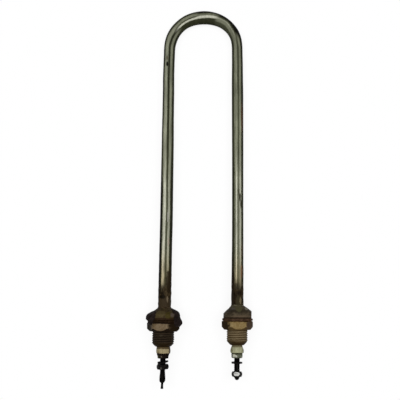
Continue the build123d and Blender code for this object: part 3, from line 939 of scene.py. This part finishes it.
small_nut_marks_and_highlights = {
    # a painted glint, then a grey mark
    ("left", "inner"): (((-1.2, 3.4, 220.4), (0.6, 1.0, 0.7), (96, 88, 76), 0.8),
                        ((-3.4, 1.6, 220.6), (1.0, 2.0, 1.4), (66, 66, 50), 0.7)),
    # a painted lit face and painted glints, among dark marks
    ("right", "inner"): (((-2.3, 2.6, 219.2), (1.1, 2.0, 1.0), (176, 176, 160), 0.95),
                         ((-0.9, 3.2, 219.6), (0.7, 1.0, 0.8), (186, 184, 174), 0.8),
                         ((-1.8, 2.9, 220.9), (1.6, 2.0, 0.4), (44, 43, 34), 0.9),
                         ((0.4, 3.4, 218.0), (5.0, 3.0, 0.5), (62, 62, 44), 0.9),
                         ((0.9, 3.2, 220.9), (0.9, 1.0, 0.5), (34, 33, 26), 0.9),
                         ((3.2, 2.0, 220.3), (0.7, 2.0, 0.7), (150, 152, 140), 0.8)),
    ("left", "outer"): (((-1.3, 3.3, 227.9), (0.6, 1.0, 0.8), (70, 66, 60), 0.9),
                        ((1.6, 3.2, 226.4), (1.2, 1.0, 0.3), (40, 36, 32), 0.7)),
    # a painted highlight: a bright oval with a darker streak in it
    ("right", "outer"): (((-0.8, 3.4, 231.1), (2.1, 1.6, 1.35), (204, 204, 200), 1.0),
                         ((-1.0, 3.6, 231.0), (1.3, 1.2, 0.24), (104, 104, 100), 0.9)),
}
for (side, which), tones in small_nut_tones.items():
    start = inner_nut_end[side] + (outer_nut_distance[side] if which == "outer" else -SMALL_NUT_HEIGHT)
    rounding = (1.0, 1.1) if which == "outer" else (0.35, 0.5)
    bm = hexagon_nut(SMALL_NUT_FLATS, SMALL_NUT_HEIGHT, STUD_RADIUS + 0.02, *rounding, steps=96, worn=0.03)
    roughen(bm, 1.2, 0.05 if side == "left" else 0.02, seed=start)
    bmesh.ops.scale(bm, vec=small_nut_stretch.get((side, which), (1.0, 1.0, 1.0)), verts=bm.verts)
    if (side, which) == ("left", "inner"):
        for vert in bm.verts:
            if math.hypot(vert.co.x, vert.co.y) > SMALL_NUT_FLATS / 2 - 0.2:
                widen(vert, CAKED_EVEN + CAKED_FOOT * math.exp(-(vert.co.z / CAKED_HEIGHT) ** 2))
    tip = OUTER_TIP if (side, which) == ("left", "outer") else 0.0
    placed = (terminal_frame(side, start + SMALL_NUT_HEIGHT / 2) @ Matrix.Rotation(math.radians(tip), 4, "Y")
              @ Matrix.Rotation(math.radians(small_nut_turn[side, which]), 4, "Z")
              @ Matrix.Translation((0, 0, -SMALL_NUT_HEIGHT / 2)))
    nut = finish_piece(bm, f"{side}_{which}_terminal_nut", placed, sharp=26)
    nut.data.materials.append(tarnish(f"{side}_{which}_nut_skin", side, tones, 2.0, 0.04,
                                      small_nut_marks_and_highlights[side, which],
                                      roughness=0.4))
    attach(nut, "root")
    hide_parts(f"{side}_{which}_nut")


# Spring washers: split rings of square wire, the left one sprung open and askew on its stud.
WASHER_INNER = 2.06
WASHER_OUTER = 3.7
WASHER_THICKNESS = 0.9
WASHER_STEPS = 72
WASHER_GAP = 12.0  # degrees left open by the split
washer_rise = {"left": 0.75, "right": 0.2}
washer_distance = {"left": 1.7, "right": 2.6}
WASHER_SPLIT = 180.0  # degrees to the split
washer_tilt = {"left": 11.0, "right": 0.0}
for side in SIDES:
    bm = bmesh.new()
    half = WASHER_THICKNESS / 2
    section = ((WASHER_INNER, -half), (WASHER_OUTER, -half), (WASHER_OUTER, half), (WASHER_INNER, half))
    verts = [bm.verts.new((radius, 0, height)) for radius, height in section]
    bm.faces.new(verts)
    bmesh.ops.bevel(bm, geom=verts, offset=0.12, segments=2, profile=0.5, affect="VERTICES", material=-1)
    bmesh.ops.spin(bm, geom=list(bm.verts) + list(bm.edges) + list(bm.faces), cent=(0, 0, 0), axis=(0, 0, 1),
                   dvec=(0, 0, washer_rise[side] / WASHER_STEPS), angle=math.radians(360 - WASHER_GAP),
                   steps=WASHER_STEPS,
                   use_merge=False, use_duplicate=False)
    start = inner_nut_end[side] + washer_distance[side] + half
    placed = (terminal_frame(side, start) @ Matrix.Rotation(math.radians(washer_tilt[side]), 4, "Y")
              @ Matrix.Rotation(math.radians(WASHER_SPLIT + WASHER_GAP / 2), 4, "Z"))
    washer = finish_piece(bm, f"{side}_split_washer", placed)
    washer.data.materials.append(tarnish(f"{side}_washer_skin", side, small_nut_tones["left", "outer"], 1.5,
                                         0.03,
                                         roughness=0.4))
    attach(washer, "root")
    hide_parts(f"{side}_spring_washer")


# Scale: hard crusts baked onto the left fitting's shoulder, gasket and nut, dark purple-brown. Each is
# a lumpy cushion wrapped round the leg, blunt at its edges.
# For each lump: middle and half spread in degrees from upright, then its crown's radius at stations from
# the shoulder's face.
scale_lumps = {
    "outer": (86.0, 50.0, (
        (-6.6, 6.7), (-5.6, 8.7), (-4.55, 10.5), (-3.9, 11.6), (-2.8, 12.3), (-1.8, 12.5), (-0.4, 12.3),
        (0.6, 11.3),
        (1.7, 11.1), (2.6, 11.5), (3.6, 11.5))),
    "inner": (-88.0, 42.0, (
        (-8.3, 5.4), (-6.8, 7.9), (-5.9, 9.4), (-5.2, 10.1), (-4.5, 10.5), (-1.8, 11.0), (-0.8, 11.8),
        (0.8, 12.4),
        (2.0, 13.0), (3.0, 12.9), (3.8, 12.3), (4.6, 11.7), (5.6, 11.2))),
}
SCALE_BLUNT = 0.6
for which, (turned_by, spread, crown) in scale_lumps.items():
    bm = bmesh.new()
    bmesh.ops.create_icosphere(bm, subdivisions=6, radius=1.0)
    start, end = crown[0][0], crown[-1][0]
    for vert in bm.verts:
        x, y, z = (math.copysign(abs(value) ** SCALE_BLUNT, value) for value in vert.co)
        station = (start + end) / 2 + (end - start) / 2 * z
        climbed = (station + SHOULDER_HEIGHT + CONE_HEIGHT) / CONE_HEIGHT
        metal = min(SHOULDER_RADIUS, CONE_LIP + (SHOULDER_RADIUS - CONE_LIP) * climbed)
        root = min(metal, 9.2) - 0.5
        height = between(crown, station) - root
        radius = root + height * max(0.0, y) * (1 - 0.3 * x * x)
        radius += rough((x * 6, y * 2 + turned_by, station), 2.2, 0.35) * max(0.0, y)
        angle = math.radians(turned_by + spread * x)
        vert.co = Vector((-radius * math.sin(angle), radius * math.cos(angle), station))
    lean(bm, "left", shoulder_face["left"])
    lump = finish_piece(bm, f"{which}_scale",
                        leg_frame(leg_x["left"]) @ Matrix.Translation((0, 0, shoulder_face["left"])),
                        sharp=60)
    lump.data.materials.append(tarnish(f"{which}_scale_crust", "left",
                                       ((14, 9, 8), (26, 19, 18), (42, 33, 31)), 2.5, 0.15,
                                       roughness=0.6, specular=0.03))
    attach(lump, "root")
    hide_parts(f"{which}_scale_lump")


# Inside the sheath: the CAD's own magnesia, coil and end seals, seen only where a part is cut open.
inner_tones = {  # slot: tones, metallic, roughness
    "magnesia": (((196, 193, 188), (213, 210, 205), (226, 224, 221)), 0.0, 0.9),
    "coil_wire": (((124, 122, 118), (158, 155, 150), (178, 175, 170)), 0.9, 0.35),
    "seal_compound": (((112, 68, 48), (134, 89, 63), (153, 108, 79)), 0.0, 0.5),
}
inner_nodes = {"magnesia_filling": "magnesia", "resistance_coil": "coil_wire",
               "left_end_seal": "seal_compound",
               "right_end_seal": "seal_compound"}
for slot, (tones, metallic, roughness) in inner_tones.items():
    material = tarnish(f"{slot}_finish", "left", tones, 2.0, 0.05, metallic=metallic, roughness=roughness,
                       specular=0.4)
    for node, node_slot in inner_nodes.items():
        if node_slot == slot:
            for material_slot in bpy.data.objects[node].material_slots:
                material_slot.material = material


# Light: two soft white sheets overhead, a smaller one before the terminals, and a surround that is white
# to the eye and in reflections but lights the element only faintly.
def sheet_lamp(name, place, size, power):
    """A square lamp aimed at the middle of the element; place is in the shared frame, in metres."""
    lamp = bpy.data.lights.new(name, "AREA")
    lamp.shape = "SQUARE"
    lamp.size = size
    lamp.energy = power
    holder = bpy.data.objects.new(name, lamp)
    bpy.context.scene.collection.objects.link(holder)
    holder.matrix_world = Matrix.Translation(place) @ (-Vector(place)).to_track_quat("-Z",
                                                                                     "Y").to_matrix().to_4x4()


def shown_rays(tree):
    """1 for what the camera sees, outright or in a reflection, 0 for what only lights."""
    rays = node_of(tree, "ShaderNodeLightPath").outputs
    return maths(tree, "MAXIMUM", rays["Is Camera Ray"], maths(tree, "MAXIMUM", rays["Is Glossy Ray"],
                                                               rays["Is Transmission Ray"]))


SURROUND_LIGHT = 0.3  # strength of what the surround lends to the element
sheets = {  # place and size in metres, power in watts
    "left_sheet": ((-0.5, 0.1, 1.3), 0.7, 8.0),
    "right_sheet": ((0.5, 0.1, 1.3), 0.7, 8.0),
    "near_sheet": ((0.0, -0.8, 1.2), 0.5, 3.7),
}
for name, sheet in sheets.items():
    sheet_lamp(name, *sheet)
world = bpy.data.worlds.new("surround")
world.use_nodes = True
tree = world.node_tree
faint = node_of(tree, "ShaderNodeBackground",
                {"Color": (0.5, 0.5, 0.5, 1), "Strength": SURROUND_LIGHT}).outputs[0]
white = node_of(tree, "ShaderNodeBackground", {"Color": (1, 1, 1, 1), "Strength": 1.0}).outputs[0]
mixed = node_of(tree, "ShaderNodeMixShader", {0: shown_rays(tree), 1: faint, 2: white}).outputs[0]
tree.links.new(mixed, tree.nodes["World Output"].inputs[0])
bpy.context.scene.world = world


# Floor: a wide pale sheet that the element lies on, white to the eye and in reflections.
FLOOR_SIZE = 6.0
SHADOW_DEPTH = 0.11  # share of the floor's white that the shadow can take away
SHADOW_FADE = (0.01,
               0.09)  # how far from the element the shadow starts and ends to fade, in metres
bm = bmesh.new()
bmesh.ops.create_grid(bm, x_segments=1, y_segments=1, size=FLOOR_SIZE / 2)
floor = finish_piece(bm, "floor", Matrix.Identity(4))
material = bpy.data.materials.new("floor_sheet")
material.use_nodes = True
tree = material.node_tree
tree.nodes.remove(tree.nodes["Principled BSDF"])
lit = node_of(tree, "ShaderNodeBsdfDiffuse", {"Color": (0.35, 0.35, 0.35, 1)}).outputs[0]
shaded = node_of(tree, "ShaderNodeBsdfDiffuse", {"Color": (1, 1, 1, 1)}).outputs[0]
white = node_of(tree, "ShaderNodeEmission", {"Color": (1, 1, 1, 1), "Strength": 1.0}).outputs[0]
where = node_of(tree, "ShaderNodeTexCoord").outputs["Object"]
box_half = Vector(cad_box[1]) * Vector((1, 1, 0))
for operation, bound in (("ABSOLUTE", {}), ("SUBTRACT", {1: box_half}), ("MAXIMUM", {1: (0, 0, 0)})):
    where = node_of(tree, "ShaderNodeVectorMath", {0: where, **bound}, operation=operation).outputs[0]
away = node_of(tree, "ShaderNodeVectorMath", {0: where}, operation="LENGTH").outputs["Value"]
plain = softened(tree, away, *SHADOW_FADE)
plain = less(tree, 1.0,
              times(tree, less(tree, 1.0, plain), SHADOW_DEPTH))
pale = node_of(tree, "ShaderNodeMixShader", {0: plain, 1: shaded, 2: white}).outputs[0]
mixed = node_of(tree, "ShaderNodeMixShader", {0: shown_rays(tree), 1: lit, 2: pale}).outputs[0]
tree.links.new(mixed, tree.nodes["Material Output"].inputs[0])
floor.data.materials.append(material)
